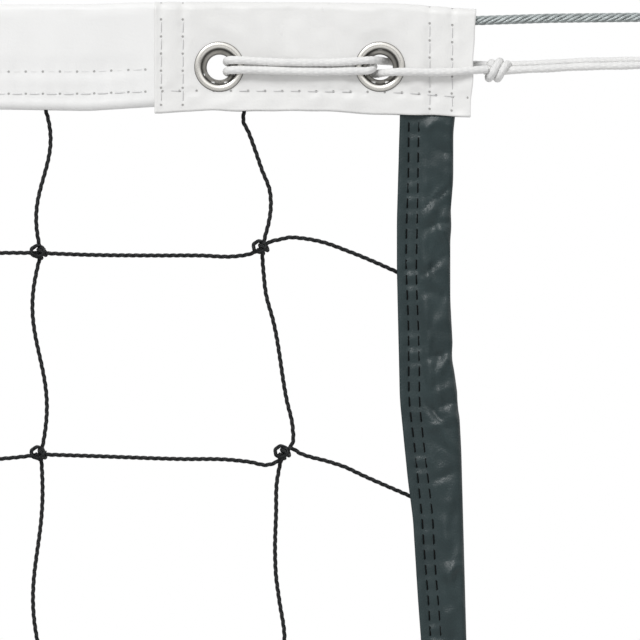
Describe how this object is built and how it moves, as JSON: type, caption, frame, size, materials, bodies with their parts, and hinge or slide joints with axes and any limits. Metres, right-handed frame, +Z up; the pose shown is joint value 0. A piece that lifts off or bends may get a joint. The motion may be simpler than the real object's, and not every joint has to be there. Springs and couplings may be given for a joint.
{
  "type": "volleyball net",
  "caption": "Sports net: knotted square netting under a white headband on a steel headline cable, with taped edges, eyelets and lacing cords.",
  "frame": {"origin": "middle of the net's bottom edge, at the lowest point of the bottom tape", "axes": "+X along the net towards its right-hand end seen from the front, +Y through the netting away from the front, +Z up"},
  "size_m": [10.093, 0.0188, 0.9436],
  "materials": {
    "netting_twine": "black twisted polyethylene twine, slightly glossy",
    "white_vinyl": "white vinyl-coated fabric, satin",
    "dark_vinyl": "dark grey-green vinyl-coated fabric, satin",
    "nickel_plate": "nickel-plated brass, polished",
    "white_cord": "white braided polyester cord, matte",
    "galvanised_wire": "galvanised steel wire rope",
    "galvanised_steel": "galvanised pressed steel",
    "aluminium_sleeve": "pressed aluminium, dull"
  },
  "bodies": {
    "headline": {"cable_eye_left": "galvanised_wire", "cable_eye_right": "galvanised_wire", "cable_ferrule_left": "aluminium_sleeve", "cable_ferrule_right": "aluminium_sleeve", "cable_thimble_left": "galvanised_steel", "cable_thimble_right": "galvanised_steel", "headline_cable": "galvanised_wire"},
    "net": {"bottom_eyelet_barrel_left": "nickel_plate", "bottom_eyelet_barrel_right": "nickel_plate", "bottom_eyelet_washer_left": "nickel_plate", "bottom_eyelet_washer_right": "nickel_plate", "bottom_margin_twine": "netting_twine", "bottom_tape": "dark_vinyl", "end_patch_left": "white_vinyl", "end_patch_right": "white_vinyl", "end_rung_twines_left": "netting_twine", "end_rung_twines_right": "netting_twine", "end_upright_twine_left": "netting_twine", "end_upright_twine_right": "netting_twine", "headband": "white_vinyl", "lacing_knot_left": "white_cord", "lacing_knot_right": "white_cord", "lacing_loop_left": "white_cord", "lacing_loop_right": "white_cord", "lacing_tail_knot_left": "white_cord", "lacing_tail_knot_right": "white_cord", "lacing_tails_left": "white_cord", "lacing_tails_right": "white_cord", "level_twines": "netting_twine", "netting_knots": "netting_twine", "side_margin_twine_left": "netting_twine", "side_margin_twine_right": "netting_twine", "side_tape_left": "dark_vinyl", "side_tape_right": "dark_vinyl", "top_eyelet_barrels_left": "nickel_plate", "top_eyelet_barrels_right": "nickel_plate", "top_eyelet_washers_left": "nickel_plate", "top_eyelet_washers_right": "nickel_plate", "top_margin_twine": "netting_twine", "upright_twines": "netting_twine"}
  },
  "joints": [
    {"name": "net_slide", "type": "slide", "parent": "headline", "child": "net", "axis": [1, 0, 0], "range_m": [-0.09, 0.09]}
  ]
}
